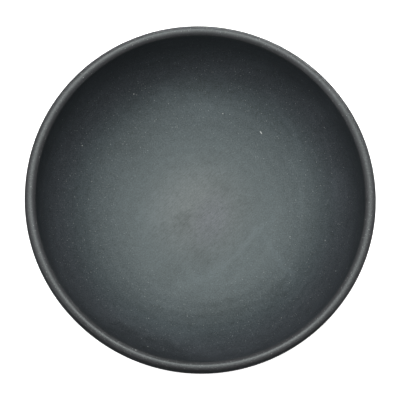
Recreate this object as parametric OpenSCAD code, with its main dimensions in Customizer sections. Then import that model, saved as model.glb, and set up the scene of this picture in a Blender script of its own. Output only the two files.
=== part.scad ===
// Empty candle jar: a round stoneware bowl with a matte glaze, standing on four stick-on pads.
// Z is up. The origin is on the plane that the pads stand on, under the middle of the bowl.

/* [Bowl] */
// Largest outside diameter, over the glaze
bowl_d = 120; // [104:1:135]
// Height from the edge of the clay foot to the top of the rim
bowl_h = 45; // [42:1:70]
// Depth below the rim at which the bowl is widest
widest_below_rim = 9; // [6:1:14]
// How far the wall leans in between the widest ring and the rim
rim_lean = 0.6; // [0.3:0.1:1.5]
// Thickness of the wall at the rim, over the glaze
rim_t = 3.2; // [2.8:0.1:4.5]
// Thickness of the wall where it turns into the floor, over the glaze
wall_t = 4.4; // [4.0:0.1:5.0]
// Thickness of the floor over the hollow, over the glaze
floor_t = 4.6; // [4.2:0.1:6]
// Diameter of the flat middle of the floor, where a wick tab sits
floor_flat_d = 22; // [18:1:30]
// Squareness of the bowl's curve, where 2 is an ellipse
curve_power = 2.5; // [2:0.05:2.6]

/* [Foot] */
// Diameter at which the fillet of the foot leaves the bowl
foot_root_d = 76; // [75:1:80]
// Radius of the fillet between the foot and the bowl
foot_fillet_r = 2; // [1:0.25:2.5]
// Height of the bare clay above the edge of the foot
bare_h = 2.0; // [1.6:0.1:2.2]
// Rounding of the edge of the foot
foot_edge_r = 0.8; // [0.4:0.1:1.0]
// Diameter of the flat roof of the hollow under the foot
hollow_d = 50; // [42:1:51]
// Depth of the hollow, whose wall slopes at 45 degrees
hollow_depth = 2.0; // [1.4:0.1:2.2]

/* [Glaze] */
// Thickness of the glaze
glaze_t = 0.3; // [0.2:0.05:0.4]

/* [Pads] */
// Number of pads
pad_count = 4; // [3:1:6]
// Diameter of a pad where it is stuck on
pad_d = 8; // [7:0.1:8]
// Height of a pad
pad_h = 2.2; // [1.5:0.1:2.5]
// Diameter of the flat that a pad stands on
pad_flat_d = 4; // [3:0.5:5]
// Thickness of the adhesive between a pad and the foot
adhesive_t = 0.2; // [0.1:0.05:0.3]
// How far the adhesive stays inside the edge of a pad
adhesive_inset = 0.3; // [0.2:0.1:0.6]

/* [Hidden] */

$fn = 128;
// Straight stretches along the bowl's curve, the leaning wall, the rim, the fillet, the foot's edge and a pad
curve_steps = 40;
lean_steps = 8;
rim_steps = 20;
fillet_steps = 8;
edge_steps = 6;
pad_steps = 12;

foot_z = pad_h + adhesive_t;
widest_z = foot_z + bowl_h - widest_below_rim;
floor_z = foot_z + hollow_depth + floor_t;
glaze_end_z = foot_z + bare_h;
floor_flat_r = floor_flat_d / 2;
rim_r = rim_t / 2;
lean_h = widest_below_rim - rim_r;

// A point on a quarter of a superellipse that lies flat at t = 0 and stands upright at t = 90
function curve_point(t, near, far, low, high) = [
    near + (far - near) * pow(sin(t), 2 / curve_power),
    high - (high - low) * pow(cos(t), 2 / curve_power)
];

// The angle that the curve climbs at, from horizontal
function curve_climb(t, near, far, low, high) = atan2(
    (high - low) * pow(cos(t), 2 / curve_power - 1) * sin(t),
    (far - near) * pow(sin(t), 2 / curve_power - 1) * cos(t)
);

// The value of t at which the curve is at a radius
function curve_angle(r, near, far) = asin(pow((r - near) / (far - near), curve_power / 2));

function polar(r, a) = r * [cos(a), sin(a)];

function reversed(points) = [for (i = [len(points) - 1:-1:0]) points[i]];

// The middle of the leaning wall and how far it leans from upright, from the widest ring at s = 0
// to the middle of the rim's round at s = 1
function lean_centre(s) = [bowl_d / 2 - rim_r - rim_lean * s * s, widest_z + lean_h * s];
function lean_angle(s) = atan2(2 * rim_lean * s, lean_h);

// A side of the leaning wall, at a distance outwards from its middle
function lean_side(out) = [
    for (i = [1:lean_steps])
        let (s = i / lean_steps)
            lean_centre(s) + polar(out, lean_angle(s))
];

// A skin is the outline of the bowl at a depth under the surface of the glaze. It runs from the
// middle of the floor up the inside, over the rim and down the outside to where the glaze ends.
function inside_skin(depth) = concat(
    [[0, floor_z - depth]],
    [for (i = [0:curve_steps])
        curve_point(90 * i / curve_steps, floor_flat_r, bowl_d / 2 - rim_t + depth, floor_z - depth, widest_z)],
    lean_side(depth - rim_r)
);

function rim_skin(depth) = [
    for (i = [1:rim_steps - 1])
        lean_centre(1) + polar(rim_r - depth, lean_angle(1) + 180 - 180 * i / rim_steps)
];

function outside_skin(depth) =
    let (
        far = bowl_d / 2 - depth,
        low = floor_z - wall_t + depth,
        root_t = curve_angle(foot_root_d / 2, floor_flat_r, far),
        root = curve_point(root_t, floor_flat_r, far, low, widest_z),
        climb = curve_climb(root_t, floor_flat_r, far, low, widest_z),
        fillet_r = foot_fillet_r + depth,
        fillet_centre = root + polar(fillet_r, climb - 90)
    )
    concat(
        reversed(lean_side(rim_r - depth)),
        [for (i = [0:curve_steps])
            curve_point(90 - (90 - root_t) * i / curve_steps, floor_flat_r, far, low, widest_z)],
        [for (i = [1:fillet_steps])
            fillet_centre + polar(fillet_r, 90 + climb + (90 - climb) * i / fillet_steps)],
        [[fillet_centre[0] - fillet_r, glaze_end_z]]
    );

function skin(depth) = concat(inside_skin(depth), rim_skin(depth), outside_skin(depth));

// The clay's outline under the glaze ends at the side of the foot. The pads sit on the middle of the
// flat ring between the foot's rounded edge and the hollow.
clay_skin = skin(glaze_t);
foot_side_r = clay_skin[len(clay_skin) - 1][0];
ring_out_r = foot_side_r - foot_edge_r;
ring_in_r = hollow_d / 2 + hollow_depth;
pad_ring_r = (ring_out_r + ring_in_r) / 2;

// The rounded edge of the foot and the hollow under it, from the outside to the middle
foot_outline = concat(
    [for (i = [0:edge_steps])
        [ring_out_r, foot_z + foot_edge_r] + polar(foot_edge_r, -90 * i / edge_steps)],
    [
        [ring_in_r, foot_z],
        [hollow_d / 2, foot_z + hollow_depth],
        [0, foot_z + hollow_depth]
    ]
);

// Fired clay: the bowl, its bare foot and the hollow under it
module stoneware_body() {
    color([0.20, 0.19, 0.18])
        rotate_extrude()
            polygon(concat(clay_skin, foot_outline));
}

// Matte glaze all over the bowl, inside and out, that ends above the edge of the foot
module glaze_coat() {
    color([0.22, 0.25, 0.26])
        rotate_extrude()
            polygon(concat(skin(0), reversed(clay_skin)));
}

module at_pad(i) {
    rotate([0, 0, 360 * (i - 0.5) / pad_count])
        translate([pad_ring_r, 0, 0])
            children();
}

// Thin discs of double-sided adhesive that hold the pads on
module adhesive_discs() {
    color([0.85, 0.85, 0.80])
        for (i = [1:pad_count])
            at_pad(i)
                translate([0, 0, pad_h])
                    cylinder(d = pad_d - 2 * adhesive_inset, h = adhesive_t);
}

// One soft domed pad, flat where it stands and where it is stuck on
module foot_pad(i) {
    color([0.10, 0.10, 0.11])
        at_pad(i)
            rotate_extrude()
                polygon(concat(
                    [[0, pad_h]],
                    [for (k = [0:pad_steps])
                        let (t = 90 * k / pad_steps)
                            [pad_flat_d / 2 + (pad_d - pad_flat_d) / 2 * cos(t), pad_h * (1 - sin(t))]],
                    [[0, 0]]
                ));
}

stoneware_body();
glaze_coat();
adhesive_discs();
for (i = [1:pad_count])
    foot_pad(i);
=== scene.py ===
import math

import bpy
import numpy as np
from mathutils import Matrix, Vector


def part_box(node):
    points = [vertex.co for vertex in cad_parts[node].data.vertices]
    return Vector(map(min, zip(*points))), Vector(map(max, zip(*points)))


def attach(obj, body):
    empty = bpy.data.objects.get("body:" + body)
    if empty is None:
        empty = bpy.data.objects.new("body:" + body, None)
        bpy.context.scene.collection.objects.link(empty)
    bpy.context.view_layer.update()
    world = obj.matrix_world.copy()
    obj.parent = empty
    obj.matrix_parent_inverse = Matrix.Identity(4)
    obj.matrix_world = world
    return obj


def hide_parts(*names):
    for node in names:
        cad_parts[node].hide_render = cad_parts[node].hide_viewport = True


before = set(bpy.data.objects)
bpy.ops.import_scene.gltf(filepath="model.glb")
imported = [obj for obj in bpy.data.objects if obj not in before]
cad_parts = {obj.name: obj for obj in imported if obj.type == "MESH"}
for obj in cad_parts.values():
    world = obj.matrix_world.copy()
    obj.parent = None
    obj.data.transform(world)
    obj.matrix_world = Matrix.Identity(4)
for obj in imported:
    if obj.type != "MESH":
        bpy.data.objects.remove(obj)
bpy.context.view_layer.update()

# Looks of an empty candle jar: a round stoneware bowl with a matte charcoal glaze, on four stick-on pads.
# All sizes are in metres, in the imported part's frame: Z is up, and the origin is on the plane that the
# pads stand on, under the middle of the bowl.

MM = 0.001
BODY = "root"


# ---- Sizes ---------------------------------------------------------------------------------------

GLAZE_LOW, GLAZE_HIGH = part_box("glaze_coat")
CLAY_LOW, CLAY_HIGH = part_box("stoneware_body")
DISCS_LOW, DISCS_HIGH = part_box("adhesive_discs")

BOWL_R = GLAZE_HIGH.x
RIM_TOP = GLAZE_HIGH.z
GLAZE_END = GLAZE_LOW.z
GLAZE_T = GLAZE_HIGH.x - CLAY_HIGH.x
FOOT_Z = CLAY_LOW.z

# The bowl's outline, as the CAD part has it
WIDEST_BELOW_RIM = 9 * MM
RIM_LEAN = 0.6 * MM
RIM_R = 1.6 * MM
WALL_T = 4.4 * MM
FLOOR_T = 4.6 * MM
FLOOR_FLAT_R = 11 * MM
CURVE_POWER = 2.5
FOOT_ROOT_R = 38 * MM
FILLET_R = 2 * MM
FOOT_EDGE_R = 0.8 * MM
HOLLOW_R = 25 * MM
HOLLOW_DEPTH = 2 * MM

FLOOR_Z = FOOT_Z + HOLLOW_DEPTH + FLOOR_T
WIDEST_Z = RIM_TOP - WIDEST_BELOW_RIM
LEAN_H = WIDEST_BELOW_RIM - RIM_R

# Straight stretches along the bowl's curve, the leaning wall, the rim and the fillet, before resampling
CURVE_STEPS = 400
LEAN_STEPS = 40
RIM_STEPS = 60
FILLET_STEPS = 30
# The distance between rings after resampling, on the glaze and on the bare foot
FINE_GAP = 0.22 * MM
COARSE_GAP = 0.56 * MM
FOOT_FINE_GAP = 0.12 * MM
FOOT_COARSE_GAP = 0.50 * MM

# Rings that the potter's fingers left, and a broad swell on the inside of the wall. Places are distances
# along the surface from the middle of the floor
INSIDE_PITCH = 4.6 * MM
INSIDE_RIDGE = 0.010 * MM
OUTSIDE_PITCH = 5.2 * MM
OUTSIDE_RIDGE = 0.030 * MM
SWELL_AT = 36 * MM
SWELL_LENGTH = 16 * MM
SWELL_FADE = 10 * MM
SWELL_HEIGHT = 0.025 * MM

# What firing did to the upper bowl. It is narrower along Y by a share, longer along one diameter and
# shorter across it, and a little out of round and out of level. Angles are from +X towards +Y
OVAL = 0.0078
SKEWED = 0.29 * MM
LONGER_AT = math.radians(132)
OUT_OF_ROUND = 0.08 * MM
RIM_UNEVEN = 0.12 * MM

# How much thicker the rim is than in CAD: all round, on its inner shoulder, at two opposite sides with
# less between them, and on the far side with less on the near side
RIM_THICKER = 0.10 * MM
RIM_SHOULDER = 0.12 * MM
RIM_UNEQUAL = 0.21 * MM
RIM_THICK_AT = math.radians(-10)
RIM_FAR_THICKER = 0.17 * MM
RIM_FAR_AT = math.radians(105)
# The wall starts to thicken at the first of these depths below the rim, and has all of it at the second
THICKENS_FROM = 22 * MM
THICKENS_TO = 6 * MM
# How far the rim bends in on one side
RIM_INWARD = 0.27 * MM
RIM_INWARD_AT = math.radians(195)

# The wavy edge of the glaze and the bead along it
GLAZE_WAVE = 0.25 * MM
GLAZE_BEAD = 0.12 * MM
BEAD_ABOVE_END = 0.5 * MM
BEAD_WIDTH = 0.35 * MM

# The spiral that the trimming tool left in the hollow, and the nub in the middle of it
TRIM_PITCH = 2.6 * MM
TRIM_DEPTH = 0.06 * MM
NUB_R = 3 * MM
NUB_HEIGHT = 0.15 * MM
HOLLOW_EDGE_R = 0.4 * MM


# ---- Small helpers -------------------------------------------------------------------------------

def smooth(low, high, value):
    """0 at low, 1 at high, and a smooth step in between."""
    share = np.clip((value - low) / (high - low), 0, 1)
    return share * share * (3 - 2 * share)


def wander(angle, seed, terms=6):
    """A smooth random wave round a circle, from about -1 to 1. The same seed gives the same wave."""
    phases = np.random.default_rng(seed).uniform(0, 2 * math.pi, terms)
    total = sum(np.cos((k + 1) * angle + phases[k]) / (k + 1) for k in range(terms))
    return total / 1.5


def polar(centre, radius, start, end, steps):
    """Points on an arc, from one angle to another in radians."""
    angle = np.linspace(start, end, steps + 1)
    return np.column_stack([centre[0] + radius * np.cos(angle), centre[1] + radius * np.sin(angle)])


def resampled(line, gap):
    """The same line with its points about a gap apart, where gap gives the distance wanted at a point."""
    step = np.hypot(*np.diff(line, axis=0).T)
    middle = (line[1:] + line[:-1]) / 2
    count = np.concatenate([[0], np.cumsum(step / gap(middle))])
    wanted = np.linspace(0, count[-1], round(count[-1]) + 1)
    return np.column_stack([np.interp(wanted, count, column) for column in line.T])


def normals(line):
    """The direction to the left of a line at each of its points."""
    along = np.gradient(line, axis=0)
    along /= np.linalg.norm(along, axis=1)[:, None]
    return np.column_stack([-along[:, 1], along[:, 0]])


def run_along(line):
    """How far each point is along a line."""
    return np.concatenate([[0], np.cumsum(np.hypot(*np.diff(line, axis=0).T))])


# ---- Meshes that are turned on the wheel ---------------------------------------------------------

# How many points a ring has if it is smaller than a radius. There are fewer near the axis, so that no face
# is a sliver, and a ring on the axis itself is one point
ON_AXIS = 0.0001 * MM
RING_POINTS = ((ON_AXIS, 1), (1.6 * MM, 16), (4 * MM, 32), (9 * MM, 64), (20 * MM, 128))
LARGE_RING_POINTS = 256


def points_at(radius):
    """How many points a ring has."""
    for limit, count in RING_POINTS:
        if radius < limit:
            return count
    return LARGE_RING_POINTS


def angles(count):
    """Angles all round a circle, evenly apart."""
    return np.arange(count) * 2 * math.pi / count


def bridge(a, b):
    """Faces between two rings of vertex numbers, where one has as many as the other, or half, or one."""
    count = max(len(a), len(b))
    if len(b) == 1:
        return [(a[k], b[0], a[(k + 1) % count]) for k in range(count)]
    if len(a) == 1:
        return [(a[0], b[k], b[(k + 1) % count]) for k in range(count)]
    if len(a) == len(b):
        return [(a[k], b[k], b[(k + 1) % count], a[(k + 1) % count]) for k in range(count)]
    faces = []
    for k in range(count // 2):
        if len(b) > len(a):
            here, there = a[k], a[(k + 1) % len(a)]
            low, mid, high = b[2 * k], b[2 * k + 1], b[(2 * k + 2) % count]
            faces += [(here, low, mid), (here, mid, there), (there, mid, high)]
        else:
            here, there = b[k], b[(k + 1) % len(b)]
            low, mid, high = a[2 * k], a[2 * k + 1], a[(2 * k + 2) % count]
            faces += [(low, here, mid), (mid, here, there), (mid, there, high)]
    return faces


def rings_mesh(groups):
    """Vertices and faces of closed solids, each a list of rings that starts and ends with one point."""
    points, faces = [], []
    for rings in groups:
        before = None
        for ring in rings:
            start = len(points)
            points += [tuple(p) for p in ring]
            here = list(range(start, len(points)))
            if before is not None:
                faces += bridge(before, here)
            before = here
    return points, faces


def solid(name, groups, material, node):
    """A smooth closed piece that stands for a CAD node and takes its material slot."""
    points, faces = rings_mesh(groups)
    mesh = bpy.data.meshes.new(name)
    mesh.from_pydata(points, [], faces)
    mesh.polygons.foreach_set("use_smooth", [True] * len(mesh.polygons))
    mesh.materials.append(material)
    mesh.update()
    piece = bpy.data.objects.new(name, mesh)
    bpy.context.scene.collection.objects.link(piece)
    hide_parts(node)
    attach(piece, BODY)


# ---- The bowl's outline --------------------------------------------------------------------------

def curve(near, far, low, start, end):
    """A quarter of a superellipse that lies flat at angle 0 and stands upright at pi / 2, at WIDEST_Z."""
    t = np.linspace(start, end, CURVE_STEPS + 1)
    across = np.clip(np.sin(t), 0, 1) ** (2 / CURVE_POWER)
    down = np.clip(np.cos(t), 0, 1) ** (2 / CURVE_POWER)
    return np.column_stack([near + (far - near) * across, WIDEST_Z - (WIDEST_Z - low) * down])


def leaning_side(out):
    """One side of the wall above the widest ring, at a distance outwards from the wall's middle."""
    s = np.linspace(0, 1, LEAN_STEPS + 1)
    lean = np.arctan2(2 * RIM_LEAN * s, LEAN_H)
    middle = np.column_stack([BOWL_R - RIM_R - RIM_LEAN * s * s, WIDEST_Z + LEAN_H * s])
    return middle + out * np.column_stack([np.cos(lean), np.sin(lean)])


def foot_fillet(root, climb):
    """The fillet from the bowl's curve down to the upright side of the foot."""
    centre = (root[0] + FILLET_R * math.sin(climb), root[1] - FILLET_R * math.cos(climb))
    return polar(centre, FILLET_R, math.pi / 2 + climb, math.pi, FILLET_STEPS)


def glazed_outline():
    """The surface of the glaze, from the middle of the floor over the rim to the foot's side."""
    inside = curve(FLOOR_FLAT_R, BOWL_R - 2 * RIM_R, FLOOR_Z, 0, math.pi / 2)
    lean = math.atan2(2 * RIM_LEAN, LEAN_H)
    rim_middle = (BOWL_R - RIM_R - RIM_LEAN, WIDEST_Z + LEAN_H)
    rim = polar(rim_middle, RIM_R, lean + math.pi, lean, RIM_STEPS)
    low = FLOOR_Z - WALL_T
    share = (FOOT_ROOT_R - FLOOR_FLAT_R) / (BOWL_R - FLOOR_FLAT_R)
    root_at = math.asin(share ** (CURVE_POWER / 2))
    outside = curve(FLOOR_FLAT_R, BOWL_R, low, math.pi / 2, root_at)
    last = outside[-1] - outside[-2]
    fillet = foot_fillet(outside[-1], math.atan2(-last[1], -last[0]))
    return np.vstack([
        [[0, FLOOR_Z]],
        inside,
        leaning_side(-RIM_R)[1:],
        rim[1:],
        leaning_side(RIM_R)[-2::-1],
        outside[1:],
        fillet[1:],
    ])


OUTLINE = glazed_outline()
FOOT_SIDE_R = OUTLINE[-1][0] - GLAZE_T
FILLET_END = OUTLINE[-1][1]


def skin_gap(point):
    """The distance between rings on the glaze: finest at the rim and where the glaze meets the foot."""
    off_rim = smooth(3 * MM, 7 * MM, RIM_TOP - point[:, 1])
    off_foot = smooth(FILLET_END, FILLET_END + 2 * MM, point[:, 1])
    return FINE_GAP + (COARSE_GAP - FINE_GAP) * off_rim * off_foot


SKIN = resampled(OUTLINE, skin_gap)
SKIN_NORMAL = normals(SKIN)
SKIN_NORMAL[0] = (0, 1)
SKIN_NORMAL[-1] = (1, 0)
SKIN_RUN = run_along(SKIN)
RIM_RUN = SKIN_RUN[np.argmax(SKIN[:, 1])]
# The rings that the hidden surface between glaze and clay has: every fourth one, and the last
HIDDEN = np.unique(np.append(np.arange(0, len(SKIN), 4), len(SKIN) - 1))


def inside_marks(run, angle):
    """How far the inside stands proud, at a distance along the surface from the middle of the floor."""
    turn = 2 * math.pi * run / INSIDE_PITCH - angle + 0.8 * wander(angle, 5)
    ridge = INSIDE_RIDGE * smooth(4 * MM, 20 * MM, run) * (1 + 0.5 * wander(angle + run / (9 * MM), 6))
    wave = 2 * math.pi * (run - SWELL_AT) / SWELL_LENGTH + 0.4 * wander(angle, 7)
    swell = SWELL_HEIGHT * math.exp(-((run - SWELL_AT) / SWELL_FADE) ** 2)
    return ridge * np.cos(turn) + swell * np.cos(wave)


def outside_marks(run, angle):
    """How far the outside stands proud, at a distance along the surface from the top of the rim."""
    turn = 2 * math.pi * run / OUTSIDE_PITCH + angle + 0.6 * wander(angle, 8)
    above_foot = smooth(1 * MM, 7 * MM, SKIN_RUN[-1] - RIM_RUN - run)
    return above_foot * OUTSIDE_RIDGE * np.cos(turn) * (1 + 0.4 * wander(angle, 9))


def throwing_marks(k, angle):
    """How far ring k of the surface stands proud, with nothing on the rim itself."""
    beyond = SKIN_RUN[k] - RIM_RUN
    clear = smooth(2 * MM, 9 * MM, abs(beyond))
    if beyond < 0:
        return clear * inside_marks(SKIN_RUN[k], angle)
    return clear * outside_marks(beyond, angle)


def fired(r, z, angle):
    """A ring's points after firing, which leaves the upper bowl slightly oval and its rim uneven."""
    share = smooth(FLOOR_Z + 1 * MM, RIM_TOP, z)
    out = r + share * (OUT_OF_ROUND * wander(angle, 1) + SKEWED * np.cos(2 * (angle - LONGER_AT)))
    x = out * np.cos(angle)
    y = out * np.sin(angle) * (1 - OVAL * share)
    up = z + share * RIM_UNEVEN * wander(angle, 2, 4)
    return np.column_stack([x, y, np.broadcast_to(up, x.shape)])


def rim_swell(k, angle):
    """How much further in ring k is, because the rim is thicker than in CAD and bends in on one side."""
    r, z = SKIN[k]
    across = np.clip((BOWL_R - RIM_LEAN - r) / (2 * RIM_R), 0, 1)
    high = smooth(RIM_TOP - THICKENS_FROM, RIM_TOP - THICKENS_TO, z)
    sides = RIM_UNEQUAL * np.cos(2 * (angle - RIM_THICK_AT))
    far = RIM_FAR_THICKER * np.cos(angle - RIM_FAR_AT)
    thicker = high * across * (RIM_THICKER + sides + far + RIM_SHOULDER * across ** 2)
    bent = smooth(WIDEST_Z, RIM_TOP - 1 * MM, z) * RIM_INWARD
    return thicker + bent * np.clip(np.cos(angle - RIM_INWARD_AT), 0, 1) ** 2


def skin_ring(k, depth):
    """Ring k of the bowl's surface, at a depth under the surface of the glaze."""
    angle = angles(points_at(SKIN[k][0]))
    proud = throwing_marks(k, angle) - depth
    r = SKIN[k][0] + SKIN_NORMAL[k][0] * proud - rim_swell(k, angle)
    z = SKIN[k][1] + SKIN_NORMAL[k][1] * proud
    return fired(r, z, angle)


# ---- Glaze ---------------------------------------------------------------------------------------

def glaze_edge_ring(r, z):
    """A ring on the upright side of the foot, moved up and down with the glaze's wavy edge."""
    angle = angles(points_at(r))
    wave = GLAZE_WAVE * (wander(angle, 3, 9) + 0.3 * np.cos(23 * angle + 2 * wander(angle, 4)))
    moved = z + wave * (1 - smooth(GLAZE_END, FILLET_END, z))
    if r > FOOT_SIDE_R:
        r = r + GLAZE_BEAD * math.exp(-((z - GLAZE_END - BEAD_ABOVE_END) / BEAD_WIDTH) ** 2)
    return fired(r, moved, angle)


def glaze_rings():
    """The glaze's outside, the bead that it ends in, and its hidden side against the clay."""
    shown = [skin_ring(k, 0) for k in range(len(SKIN))]
    side = np.array([[FOOT_SIDE_R + GLAZE_T, FILLET_END], [FOOT_SIDE_R + GLAZE_T, GLAZE_END + GLAZE_T]])
    side = resampled(side, lambda point: 0.18 * MM)
    round_end = polar((FOOT_SIDE_R, GLAZE_END + GLAZE_T), GLAZE_T, 0, -math.pi / 2, 6)
    edge = [glaze_edge_ring(r, z) for r, z in np.vstack([side[1:], round_end[1:]])]
    back = [glaze_edge_ring(FOOT_SIDE_R, z) for z in np.linspace(GLAZE_END, FILLET_END, 4)[1:-1]]
    hidden = [skin_ring(k, GLAZE_T) for k in HIDDEN[::-1]]
    return shown + edge + back + hidden


# ---- Clay ----------------------------------------------------------------------------------------

def foot_outline():
    """Bare clay from the foot's side, round its edge and across its flat ring, to the hollow's middle."""
    ring_out = FOOT_SIDE_R - FOOT_EDGE_R
    ring_in = HOLLOW_R + HOLLOW_DEPTH
    bend = HOLLOW_EDGE_R * math.tan(math.pi / 8)
    roof = FOOT_Z + HOLLOW_DEPTH
    edge = polar((ring_out, FOOT_Z + FOOT_EDGE_R), FOOT_EDGE_R, 0, -math.pi / 2, 20)
    lower_middle = (ring_in + bend, FOOT_Z + HOLLOW_EDGE_R)
    lower = polar(lower_middle, HOLLOW_EDGE_R, -math.pi / 2, -3 * math.pi / 4, 10)
    upper_middle = (HOLLOW_R - bend, roof - HOLLOW_EDGE_R)
    upper = polar(upper_middle, HOLLOW_EDGE_R, math.pi / 4, math.pi / 2, 10)
    return np.vstack([[[FOOT_SIDE_R, FILLET_END]], edge, lower, upper, [[0, roof]]])


def foot_gap(point):
    """The distance between rings on the bare foot: fine at its rounded edges."""
    edges = (FOOT_SIDE_R, HOLLOW_R + HOLLOW_DEPTH, HOLLOW_R)
    away = np.min([abs(point[:, 0] - r) for r in edges], axis=0)
    return FOOT_FINE_GAP + (FOOT_COARSE_GAP - FOOT_FINE_GAP) * smooth(0.6 * MM, 2 * MM, away)


def foot_ring(point):
    """A ring of the bare foot. Its hollow has a trimming spiral, and a small nub in the middle."""
    r, z = point
    angle = angles(points_at(r))
    if r < HOLLOW_R:
        share = smooth(0, 2 * MM, HOLLOW_R - r) * smooth(0, NUB_R, r)
        turn = 2 * math.pi * r / TRIM_PITCH + angle
        scraped = np.abs(np.sin(turn / 2)) ** 0.7
        z = z + TRIM_DEPTH * share * (scraped - 1) - NUB_HEIGHT * (1 - smooth(NUB_R / 3, NUB_R, r))
    return fired(np.full(len(angle), r), z, angle)


def clay_rings():
    """The clay under the glaze, then the bare foot."""
    under = [skin_ring(k, GLAZE_T) for k in HIDDEN]
    foot = resampled(foot_outline(), foot_gap)
    bare = [foot_ring(point) for point in foot[1:]]
    return under + bare


# ---- Pads and their adhesive ---------------------------------------------------------------------

PAD_ROUND = 0.15 * MM
PAD_FLAT_R = 2 * MM
DIMPLE_R = 0.8 * MM
DIMPLE_DEPTH = 0.15 * MM
PAD_RING_POINTS = 64
DISC_SQUEEZE = 0.01


def placed(line, middle, squeeze=0.0, seed=0):
    """Rings of a small turned piece under the foot, with its edge squeezed out of round by a share."""
    rings = []
    for r, z in line:
        angle = angles(1 if r < ON_AXIS else PAD_RING_POINTS)
        out = r * (1 + squeeze * wander(angle, seed))
        x = middle.x + out * np.cos(angle)
        y = middle.y + out * np.sin(angle)
        rings.append(np.column_stack([x, y, np.full(len(angle), z)]))
    return rings


def pad_outline(radius, height):
    """A pad from the middle of its stuck face, round its edge and dome, to its moulding dimple."""
    t = np.linspace(0, math.pi / 2, 60)
    reach = radius - PAD_FLAT_R
    dome = np.column_stack([PAD_FLAT_R + reach * np.cos(t), (height - PAD_ROUND) * (1 - np.sin(t))])
    edge = polar((radius - PAD_ROUND, height - PAD_ROUND), PAD_ROUND, math.pi / 2, 0, 8)
    s = np.linspace(1, 0, 16)
    dimple = np.column_stack([DIMPLE_R * s, DIMPLE_DEPTH * (1 - smooth(0.3, 1, s))])
    line = np.vstack([[[0, height]], edge, dome[1:], dimple])
    return resampled(line, lambda point: 0.12 * MM)


def disc_outline(radius):
    """An adhesive disc from the middle of its top, round its soft edge, to the middle underneath."""
    half = (DISCS_HIGH.z - DISCS_LOW.z) / 2
    edge = polar((radius - half, DISCS_LOW.z + half), half, math.pi / 2, -math.pi / 2, 12)
    line = np.vstack([[[0, DISCS_HIGH.z]], edge, [[0, DISCS_LOW.z]]])
    return resampled(line, lambda point: 0.08 * MM + 0.5 * smooth(radius / 2, 0, point[:, 0]) * MM)


# ---- Materials -----------------------------------------------------------------------------------

class Shader:
    """A material's node tree, with short calls for the nodes that these materials use."""

    def __init__(self, name, roughness):
        self.material = bpy.data.materials.new(name)
        self.material.use_nodes = True
        self.tree = self.material.node_tree
        self.surface = self.tree.nodes["Principled BSDF"]
        self.surface.inputs["Roughness"].default_value = roughness
        self.place = self.add("TexCoord", {}).outputs["Object"]

    def add(self, kind, inputs, **settings):
        """A new node. Each input is a number, a colour or the output of another node."""
        made = self.tree.nodes.new("ShaderNode" + kind)
        for name, value in settings.items():
            setattr(made, name, value)
        for name, value in inputs.items():
            if isinstance(value, bpy.types.NodeSocket):
                self.tree.links.new(value, made.inputs[name])
            else:
                made.inputs[name].default_value = value
        return made

    def math(self, operation, *values):
        """The outcome of an operation on numbers."""
        return self.add("Math", dict(enumerate(values)), operation=operation).outputs[0]

    def vector(self, operation, *values):
        """The outcome of an operation on vectors that gives a vector."""
        return self.add("VectorMath", dict(enumerate(values)), operation=operation).outputs[0]

    def clouds(self, size, detail):
        """A noise whose lumps have a size in metres."""
        return self.add("TexNoise", {"Vector": self.place, "Scale": 1 / size, "Detail": detail})

    def noise(self, size, detail):
        """Clouds as a value from about 0 to 1."""
        return self.clouds(size, detail).outputs["Fac"]

    def step(self, value, low, high, to_low=0.0, to_high=1.0):
        """A smooth step from to_low, where value is low, to to_high, where value is high."""
        inputs = {"Value": value, "From Min": low, "From Max": high, "To Min": to_low, "To Max": to_high}
        return self.add("MapRange", inputs, interpolation_type="SMOOTHSTEP").outputs["Result"]

    def swing(self, value, amount):
        """Turns a value from 0 to 1 into a change in tone from -amount to amount."""
        return self.math("MULTIPLY", self.math("SUBTRACT", value, 0.5), 2 * amount)

    def total(self, values):
        """The sum of several values."""
        result = values[0]
        for value in values[1:]:
            result = self.math("ADD", result, value)
        return result

    def shaded(self, colour, tone):
        """A colour made lighter or darker by a tone, where 1 leaves it as it is."""
        if isinstance(colour, tuple):
            colour = colour[:3]
        return self.add("VectorMath", {0: colour, "Scale": tone}, operation="SCALE").outputs[0]

    def blend(self, share, below, above):
        """Two colours mixed: the first where the share is 0, and the second where it is 1."""
        return self.add("Mix", {0: share, 6: below, 7: above}, data_type="RGBA").outputs[2]

    def radius(self, place):
        """The distance from the bowl's axis."""
        flat = self.vector("MULTIPLY", place, (1, 1, 0))
        return self.add("VectorMath", {0: flat}, operation="LENGTH").outputs["Value"]

    def oval(self, place, x, y, length, width, turn):
        """How far a place is from an oval's middle, seen from above: 1 on its edge. In millimetres."""
        inputs = {
            "Vector": place,
            "Location": (x * MM, y * MM, 0),
            "Rotation": (0, 0, math.radians(turn)),
            "Scale": (length / 2 * MM, width / 2 * MM, 1),
        }
        inside = self.add("Mapping", inputs, vector_type="TEXTURE").outputs[0]
        return self.radius(inside)

    def along(self, axis):
        """How far along X, Y or Z a place is."""
        return self.add("SeparateXYZ", {0: self.place}).outputs[axis]

    def specks(self, cell, size, presence):
        """A mask of small dots at random, at most one a cell. Size is the radius of the largest."""
        inputs = {"Vector": self.place, "Scale": 1 / cell}
        cells = self.add("TexVoronoi", inputs)
        chance = self.add("SeparateColor", {0: cells.outputs["Color"]})
        largest = self.math("MULTIPLY", chance.outputs[0], size / cell)
        dot = self.step(self.math("DIVIDE", cells.outputs["Distance"], largest), 1.0, 0.5)
        kept = self.math("LESS_THAN", chance.outputs[1], presence)
        strength = self.math("MULTIPLY", kept, chance.outputs[2])
        return self.math("MULTIPLY", dot, strength)

    def drive(self, name, value):
        """Gives the surface an input that varies from place to place."""
        self.tree.links.new(value, self.surface.inputs[name])

    def bump(self, height, distance):
        """Raises the surface by up to a distance where height is 1."""
        made = self.add("Bump", {"Height": height, "Distance": distance, "Strength": 1.0})
        self.drive("Normal", made.outputs[0])


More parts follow.
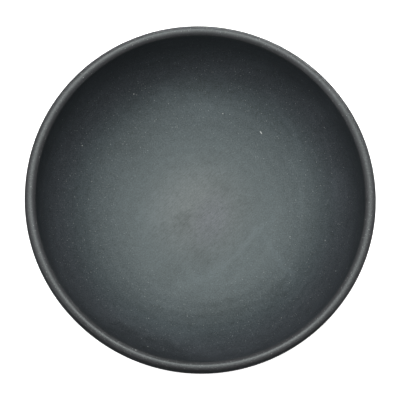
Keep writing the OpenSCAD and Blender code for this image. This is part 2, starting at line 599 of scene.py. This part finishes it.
class Glaze(Shader):
    """The glaze's shader, with the measures that most of its marks need."""

    def __init__(self):
        super().__init__("matte_charcoal_glaze", 0.5)
        self.axis_gap = self.radius(self.place)
        self.rim_gap = self.math("SUBTRACT", RIM_TOP, self.along("Z"))
        self.on_rim = self.step(self.rim_gap, 3 * MM, 1 * MM)

    def fainter_on_rim(self, value, left):
        """A value of which only a share is left on the rim."""
        return self.math("MULTIPLY", value, self.step(self.rim_gap, 1 * MM, 3 * MM, left, 1.0))


# ---- Glaze material ------------------------------------------------------------------------------

# Colours are linear. The sheen colours tint the glaze's reflections
GLAZE_COLOUR = (0.0420, 0.0525, 0.0578, 1)
WALL_COLOUR = (0.0450, 0.0505, 0.0575, 1)
# Painted light: the middle of the floor gets a lighter colour, a painted pool of light. The mauve colour
# is the same painted light with a mauve tint
POOL_OF_LIGHT_COLOUR = (0.0750, 0.0808, 0.0825, 1)
MAUVE_POOL_OF_LIGHT_COLOUR = (0.0775, 0.0798, 0.0900, 1)
RIM_COLOUR = (0.0485, 0.0495, 0.0525, 1)
GLAZE_SHEEN = (0.87, 1.0, 0.967, 1)
RIM_SHEEN = (0.91, 1.0, 0.980, 1)
DUST_COLOUR = (0.40, 0.42, 0.41, 1)
# Pale specks on the rim's top: worn glaze, made light enough to also paint part of the rim's highlight
WORN_AND_HIGHLIGHT_COLOUR = (0.115, 0.120, 0.118, 1)

# Layers of dust specks, each with the size of the cells that hold a speck and the radius of the largest
DUST_LAYERS = ((0.64 * MM, 0.16 * MM), (3.0 * MM, 0.32 * MM))

# Ovals on the inside of the bowl. Each has its middle along X and Y, its length and its width, in
# millimetres, and its turn in degrees
LINT = (22.3, 28.5, 1.6, 0.45, 125)
MAUVE_PATCH = (4, -4, 22, 14, 70)
# These also have a change in tone, and their edges are ragged
CLOUDS = (
    # left by wiping, on the floor
    (-10, 4, 28, 14, 35, 0.20),
    (-19, -5, 22, 9, 50, 0.14),
    (-14, -31, 14, 7, 150, 0.12),
    (31, -24, 24, 8, 125, 0.10),
    (33, 14, 12, 8, 110, 0.10),
    (-6, -3, 9, 7, 40, -0.20),
    (0, -17, 10, 8, 120, -0.20),
    (-12, -23, 13, 8, 30, -0.18),
    (4, 19, 10, 6, 0, -0.14),
    (8, 9, 8, 5, 40, -0.14),
    (19, 3, 10, 6, 60, -0.14),
    (-25, -10, 12, 8, 90, -0.12),
    (-24, 25, 18, 13, 40, -0.20),
    (7, -36, 22, 11, 10, -0.22),
    (26, -30, 12, 8, 40, -0.16),
    # uneven glaze, where the floor turns into the wall, and painted shade on the near wall
    (2, 37, 24, 9, 0, 0.18),
    (-13, 42, 12, 5, 10, 0.16),
    (5, 45, 44, 7, 0, -0.09),
    (-14, -43, 44, 10, 160, 0.18),
    # painted shade: a long dark oval that darkens the near wall under the rim
    (-19, -50, 60, 10, 158, -0.28),
    (50, 6, 18, 6, 95, 0.18),
    (44, 33, 14, 6, 130, 0.20),
)
STROKES = (
    # one that bends round the floor, one that leaves it, and one under the wall
    (27, -2, 16, 2.8, 42, 0.14),
    (17.5, -11, 15, 2.8, 53, 0.26),
    (9, -19.5, 15, 3.0, 38, 0.23),
    (-1, -25, 15, 3.2, 18, 0.18),
    (27, -16, 26, 3.2, 124, 0.20),
    (29, 36, 19, 2.2, 121, 0.16),
    (35.5, 20, 20, 2.2, 102, 0.16),
    (37, 4, 18, 2.2, 88, 0.14),
)
# How ragged their edges are
CLOUD_RAGGED = 12 * MM
STROKE_RAGGED = 4.5 * MM
# The direction in which the floor was wiped, in degrees from X
WIPED_ALONG = 42


def marked(glaze, rows, ragged):
    """Soft ovals as a change in tone, whose edges stray by up to about half of ragged."""
    clouds = glaze.clouds(4 * MM, 5.0).outputs["Color"]
    centred = glaze.vector("SUBTRACT", clouds, (0.5, 0.5, 0.5))
    place = glaze.vector("MULTIPLY_ADD", centred, (ragged, ragged, 0), glaze.place)
    tones = []
    for x, y, length, width, turn, tone in rows:
        away = glaze.oval(place, x, y, length, width, turn)
        tones.append(glaze.step(away, 0.2, 1.4, tone, 0.0))
    return glaze.total(tones)


def streaks(glaze, place, size, turn=0.0):
    """Clouds that are drawn out along X, Y and Z by size, after a turn in degrees."""
    inputs = {"Vector": place, "Rotation": (0, 0, math.radians(turn)), "Scale": size}
    drawn = glaze.add("Mapping", inputs, vector_type="TEXTURE").outputs[0]
    return glaze.add("TexNoise", {"Vector": drawn, "Scale": 1.0, "Detail": 3.0}).outputs["Fac"]


def wiped(glaze):
    """Diagonal strokes on the floor, where the bowl was wiped out: broad faint ones and fine ones."""
    broad = streaks(glaze, glaze.place, (8 * MM, 2.5 * MM, 8 * MM), WIPED_ALONG)
    fine = streaks(glaze, glaze.place, (3 * MM, 0.35 * MM, 3 * MM), WIPED_ALONG)
    both = glaze.total([glaze.swing(broad, 0.20), glaze.swing(fine, 0.60)])
    return glaze.math("MULTIPLY", both, glaze.step(glaze.axis_gap, 34 * MM, 14 * MM))


def brushed(glaze):
    """Faint streaks round the wall, each about a tenth of a turn long."""
    gap = glaze.axis_gap
    spread = glaze.add("CombineXYZ", {"X": gap, "Y": gap, "Z": gap}).outputs[0]
    facing = glaze.vector("DIVIDE", glaze.place, spread)
    round_axis = glaze.vector("MULTIPLY", facing, (5, 5, 0))
    out = glaze.add("CombineXYZ", {"Z": glaze.math("DIVIDE", gap, 1.3 * MM)}).outputs[0]
    clouds = streaks(glaze, glaze.vector("ADD", round_axis, out), (1, 1, 1))
    return glaze.math("MULTIPLY", glaze.swing(clouds, 0.20), glaze.step(gap, 26 * MM, 44 * MM))


def grain(glaze):
    """The fine grain of a matte glaze, fainter where the floor is wiped and on the rim."""
    share = glaze.step(glaze.axis_gap, 10 * MM, 36 * MM, 0.6, 1.0)
    share = glaze.fainter_on_rim(share, 0.5)
    return glaze.math("MULTIPLY", share, glaze.swing(glaze.noise(0.42 * MM, 1.0), 0.9))


def glaze_tone(glaze):
    """All that makes the glaze lighter or darker, as a share of its colour."""
    return glaze.total([
        1.0,
        glaze.swing(glaze.noise(11 * MM, 3.0), 0.10),
        glaze.swing(glaze.noise(2.2 * MM, 3.0), 0.16),
        grain(glaze),
        marked(glaze, CLOUDS, CLOUD_RAGGED),
        marked(glaze, STROKES, STROKE_RAGGED),
        wiped(glaze),
        brushed(glaze),
    ])


def plain_glaze(glaze):
    """The glaze's colour: a painted pool of light in the middle of the floor, with a mauve patch in it,
    and greyer on the rim.
    """
    painted_pool = glaze.step(glaze.axis_gap, 26 * MM, 3 * MM)
    mauve = glaze.step(glaze.oval(glaze.place, *MAUVE_PATCH), 0.2, 1.4, 1.0, 0.0)
    base = glaze.blend(painted_pool, GLAZE_COLOUR, glaze.blend(mauve, POOL_OF_LIGHT_COLOUR, MAUVE_POOL_OF_LIGHT_COLOUR))
    base = glaze.blend(glaze.step(glaze.axis_gap, 42 * MM, 54 * MM), base, WALL_COLOUR)
    return glaze.blend(glaze.on_rim, base, RIM_COLOUR)


def dusty(glaze, base):
    """A colour with dust specks, which are fainter in the middle of the floor, and a lint fibre."""
    left = glaze.step(glaze.axis_gap, 10 * MM, 52 * MM, 0.15, 1.0)
    for cell, size in DUST_LAYERS:
        dust = glaze.math("MULTIPLY", left, glaze.specks(cell, size, 0.9))
        base = glaze.blend(dust, base, DUST_COLOUR)
    lint = glaze.step(glaze.oval(glaze.place, *LINT), 1.0, 0.6)
    return glaze.blend(lint, base, DUST_COLOUR)


def worn_and_highlighted(glaze, base):
    """A colour with pale specks along the very top of the rim: worn glaze, and also a painted highlight
    along the ridge.
    """
    ridge = glaze.step(glaze.rim_gap, 0.30 * MM, 0.02 * MM)
    worn_and_highlight = glaze.math("MULTIPLY", ridge, glaze.step(glaze.noise(0.5 * MM, 2.0), 0.50, 0.80))
    return glaze.blend(worn_and_highlight, base, WORN_AND_HIGHLIGHT_COLOUR)


def satin(glaze):
    """The glaze's roughness: smoother on the rim, but less so at its left, and not at its right."""
    smoother = glaze.step(glaze.rim_gap, 2.5 * MM, 1.0 * MM, 0.50, 0.42)
    facing = glaze.math("DIVIDE", glaze.along("X"), glaze.axis_gap)
    right = glaze.step(facing, 0.5, 1.0, 0.0, 0.10)
    left = glaze.step(facing, -0.5, -1.0, 0.0, 0.06)
    dry = glaze.math("MULTIPLY", glaze.total([right, left]), glaze.on_rim)
    return glaze.total([smoother, dry, glaze.swing(glaze.noise(3 * MM, 2.0), 0.03)])


def glaze_material():
    """Matte charcoal glaze: grainy, with a painted pool of light in the middle of the floor, dusty, and
    with pale worn specks along the rim that also paint part of its highlight.
    """
    glaze = Glaze()
    base = glaze.shaded(plain_glaze(glaze), glaze_tone(glaze))
    glaze.drive("Base Color", worn_and_highlighted(glaze, dusty(glaze, base)))
    glaze.drive("Specular Tint", glaze.blend(glaze.on_rim, GLAZE_SHEEN, RIM_SHEEN))
    glaze.drive("Roughness", satin(glaze))
    orange_peel = glaze.fainter_on_rim(glaze.noise(0.6 * MM, 2.0), 0.4)
    glaze.bump(orange_peel, 0.006 * MM)
    return glaze.material


# ---- Other materials -----------------------------------------------------------------------------

CLAY_COLOUR = (0.165, 0.145, 0.125, 1)
TOASTED_COLOUR = (0.105, 0.075, 0.055, 1)
IRON_COLOUR = (0.03, 0.025, 0.02, 1)
SAND_COLOUR = (0.45, 0.40, 0.34, 1)
PAD_COLOUR = (0.020, 0.020, 0.022, 1)
PAD_DUST_COLOUR = (0.2, 0.2, 0.19, 1)
ADHESIVE_COLOUR = (0.72, 0.72, 0.66, 1)


def clouded(shader, coarse, coarse_amount, fine, fine_amount):
    """A tone round 1 that changes over two pairs of a size and a detail, each by up to its amount."""
    return shader.total([
        1.0,
        shader.swing(shader.noise(*coarse), coarse_amount),
        shader.swing(shader.noise(*fine), fine_amount),
    ])


def clay_material():
    """Bare fired clay: sandy and speckled, with a toasted line along the glaze."""
    clay = Shader("bare_stoneware", 0.85)
    outside = clay.step(clay.radius(clay.place), FOOT_SIDE_R - 0.8 * MM, FOOT_SIDE_R - 0.4 * MM)
    toasted = clay.step(clay.along("Z"), GLAZE_END - 1.1 * MM, GLAZE_END - 0.2 * MM)
    toasted = clay.math("MULTIPLY", outside, toasted)
    base = clay.blend(toasted, CLAY_COLOUR, TOASTED_COLOUR)
    base = clay.shaded(base, clouded(clay, (6 * MM, 3.0), 0.2, (0.35 * MM, 2.0), 0.35))
    base = clay.blend(clay.specks(1.1 * MM, 0.30 * MM, 0.6), base, IRON_COLOUR)
    base = clay.blend(clay.specks(0.9 * MM, 0.20 * MM, 0.3), base, SAND_COLOUR)
    clay.drive("Base Color", base)
    clay.bump(clay.noise(0.35 * MM, 3.0), 0.06 * MM)
    return clay.material


def pad_material():
    """Soft dark polyurethane with a fine moulded texture and a little dust."""
    pad = Shader("soft_dark_pad", 0.6)
    base = pad.shaded(PAD_COLOUR, clouded(pad, (1.5 * MM, 2.0), 0.2, (0.15 * MM, 1.0), 0.2))
    pad.drive("Base Color", pad.blend(pad.specks(0.9 * MM, 0.12 * MM, 0.4), base, PAD_DUST_COLOUR))
    pad.drive("Roughness", pad.step(pad.noise(0.8 * MM, 2.0), 0.3, 0.7, 0.5, 0.68))
    pad.bump(pad.noise(0.12 * MM, 1.0), 0.01 * MM)
    return pad.material


def adhesive_material():
    """Milky double-sided adhesive."""
    glue = Shader("milky_adhesive", 0.4)
    tone = clouded(glue, (1.2 * MM, 2.0), 0.08, (0.2 * MM, 2.0), 0.05)
    glue.drive("Base Color", glue.shaded(ADHESIVE_COLOUR, tone))
    glue.bump(glue.noise(0.4 * MM, 2.0), 0.01 * MM)
    return glue.material


# ---- Pieces --------------------------------------------------------------------------------------

def build_bowl():
    """The clay and the glaze on it."""
    solid("stoneware_bowl", [clay_rings()], clay_material(), "stoneware_body")
    solid("matte_glaze", [glaze_rings()], glaze_material(), "glaze_coat")


def build_pads():
    """The pads, each where CAD has it, and then the adhesive discs above them."""
    pad_skin = pad_material()
    middles = []
    for name in sorted(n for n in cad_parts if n.startswith("foot_pad_")):
        low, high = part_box(name)
        middle = (low + high) / 2
        middles.append(middle)
        line = pad_outline((high.x - low.x) / 2, high.z - low.z) + (0, low.z)
        number = name.rsplit("_", 1)[1]
        solid("stick_on_pad_" + number, [placed(line, middle)], pad_skin, name)
    line = disc_outline(DISCS_HIGH.x - max(middle.x for middle in middles))
    discs = [placed(line, middle, DISC_SQUEEZE, 20 + k) for k, middle in enumerate(middles)]
    solid("pad_adhesive", discs, adhesive_material(), "adhesive_discs")


# ---- Stage, light and camera ---------------------------------------------------------------------

# Lamps in a dome: degrees from straight up, degrees round from +Y towards +X, and power in watts
STUDIO = (
    (0, 0, 0.8),
    (20, 0, 6.8),
    (20, 60, 1.3),
    (20, 120, 1.8),
    (20, 180, 1.8),
    (20, 300, 3.4),
    (40, 45, 0.9),
    (40, 180, 0.9),
    (40, 270, 1.8),
    (80, 20, 1.6),
    (80, 240, 0.9),
)
LAMP_DISTANCE = 1.2
LAMP_D = 0.5

# A wide lamp behind the bowl, lower than the rim
BACK_GLOW_AROUND = math.radians(15)
BACK_GLOW_DISTANCE = 0.20
BACK_GLOW_Z = 22 * MM
BACK_GLOW_SIZE = (0.30, 0.036)
BACK_GLOW_POWER = 1.2


def lamp_out(down, around, distance):
    """The way to a lamp from the origin. Angles in radians: from straight up, and from +Y towards +X."""
    level = Vector((math.sin(around), math.cos(around), 0)) * math.sin(down)
    return (level + Vector((0, 0, math.cos(down)))) * distance


def hang(lamp, out, lift=0.0):
    """Puts a lamp at the end of out, raised by lift, where it shines back along out, unseen itself."""
    holder = bpy.data.objects.new(lamp.name, lamp)
    holder.location = out + Vector((0, 0, lift))
    holder.rotation_mode = "QUATERNION"
    holder.rotation_quaternion = out.to_track_quat("Z", "Y")
    holder.visible_camera = False
    bpy.context.scene.collection.objects.link(holder)
    return holder


def build_lights():
    """Soft round lamps in a dome over the bowl."""
    for number, (down, around, power) in enumerate(STUDIO):
        lamp = bpy.data.lights.new(f"soft_lamp_{number}", "AREA")
        lamp.shape = "DISK"
        lamp.size = LAMP_D
        lamp.energy = power
        hang(lamp, lamp_out(math.radians(down), math.radians(around), LAMP_DISTANCE))


def build_back_glow():
    """The lamp that lights the far side of the rim from outside, with no glint of its own."""
    lamp = bpy.data.lights.new("back_glow", "AREA")
    lamp.shape = "RECTANGLE"
    lamp.size, lamp.size_y = BACK_GLOW_SIZE
    lamp.energy = BACK_GLOW_POWER
    holder = hang(lamp, lamp_out(math.pi / 2, BACK_GLOW_AROUND, BACK_GLOW_DISTANCE), BACK_GLOW_Z)
    holder.visible_glossy = False


# The paper that the camera sees under the bowl, and the paper below it that lights the bowl
FLOOR_R = 30
BOUNCE_R = 2
BOUNCE_BELOW = 0.5 * MM


def paper_material(name, tone, glow, far_glow):
    """Plain matt paper that glows a little, so that it stays pale where no lamp reaches."""
    paper = Shader(name, 1.0)
    paper.surface.inputs["Base Color"].default_value = (tone, tone, tone, 1)
    paper.surface.inputs["Specular IOR Level"].default_value = 0.0
    paper.surface.inputs["Emission Color"].default_value = (1, 1, 1, 1)
    paper.drive("Emission Strength", paper.step(paper.radius(paper.place), 0.15, 1.2, glow, far_glow))
    return paper.material


def round_sheet(name, radius, z, material):
    """A wide round sheet, as a stage piece."""
    edge = [(radius * math.cos(a), radius * math.sin(a), z) for a in angles(64)]
    mesh = bpy.data.meshes.new(name)
    mesh.from_pydata(edge, [], [tuple(range(len(edge)))])
    mesh.materials.append(material)
    sheet = bpy.data.objects.new(name, mesh)
    bpy.context.scene.collection.objects.link(sheet)
    return sheet


def build_stage():
    """A pale floor that only the camera sees."""
    floor = round_sheet("floor", FLOOR_R, 0, paper_material("floor_paper", 0.8, 0.75, 1.0))
    floor.visible_diffuse = False
    floor.visible_glossy = False


def build_bounce():
    """A soft glow that lights the bowl from under, in place of the floor's light."""
    bounce_skin = paper_material("bounce_paper", 0.0, 0.9, 0.9)
    bounce = round_sheet("floor_bounce", BOUNCE_R, -BOUNCE_BELOW, bounce_skin)
    bounce.visible_camera = False
    bounce.visible_glossy = False


def build_surround():
    """A white surround that only the camera sees."""
    world = bpy.data.worlds.new("surround")
    bpy.context.scene.world = world
    world.use_nodes = True
    world.node_tree.nodes["Background"].inputs["Color"].default_value = (1, 1, 1, 1)
    world.cycles_visibility.diffuse = False
    world.cycles_visibility.glossy = False


CAMERA_TILT = math.radians(8.6)
CAMERA_DISTANCE = 0.45
HALF_VIEW = 67.30 * MM
CAMERA_TARGET = Vector((-0.03 * MM, -1.84 * MM, RIM_TOP))


def build_camera():
    """Looks down at the rim from a little in front of straight above."""
    lens = bpy.data.cameras.new("camera")
    lens.lens = lens.sensor_width / 2 / (HALF_VIEW / CAMERA_DISTANCE)
    camera = bpy.data.objects.new("camera", lens)
    back = Vector((0, -math.sin(CAMERA_TILT), math.cos(CAMERA_TILT)))
    right = Vector((1, 0, 0))
    turn = Matrix((right, back.cross(right), back)).transposed()
    camera.matrix_world = Matrix.Translation(CAMERA_TARGET + back * CAMERA_DISTANCE) @ turn.to_4x4()
    bpy.context.scene.collection.objects.link(camera)
    bpy.context.scene.camera = camera
    bpy.context.scene.view_settings.view_transform = "Standard"


build_bowl()
build_pads()
build_lights()
build_back_glow()
build_stage()
build_bounce()
build_surround()
build_camera()
